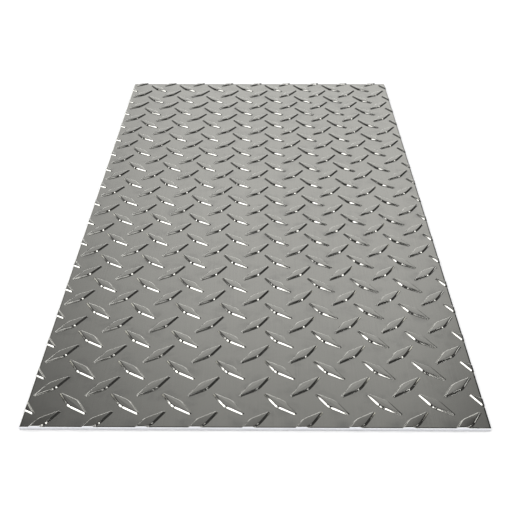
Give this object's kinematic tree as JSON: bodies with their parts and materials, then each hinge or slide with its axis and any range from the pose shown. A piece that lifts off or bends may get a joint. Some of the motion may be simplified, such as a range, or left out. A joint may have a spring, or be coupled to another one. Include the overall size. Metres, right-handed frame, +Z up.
{
  "type": "checker steel plate",
  "caption": "Flat sheared sheet of rolled metal with a raised two-way pattern of diamond lugs on its upper face.",
  "frame": {"origin": "middle of the underside", "axes": "+Z up through the thickness towards the lugs, +Y along the sheet's length, +X across its width"},
  "size_m": [0.3048, 0.6096, 0.0037],
  "materials": {
    "checker_plate": "bright rolled metal, semi-mirror, with faint streaks along the rolling direction and sheared edges"
  },
  "bodies": {
    "root": {"checker_plate": "checker_plate"}
  },
  "joints": []
}
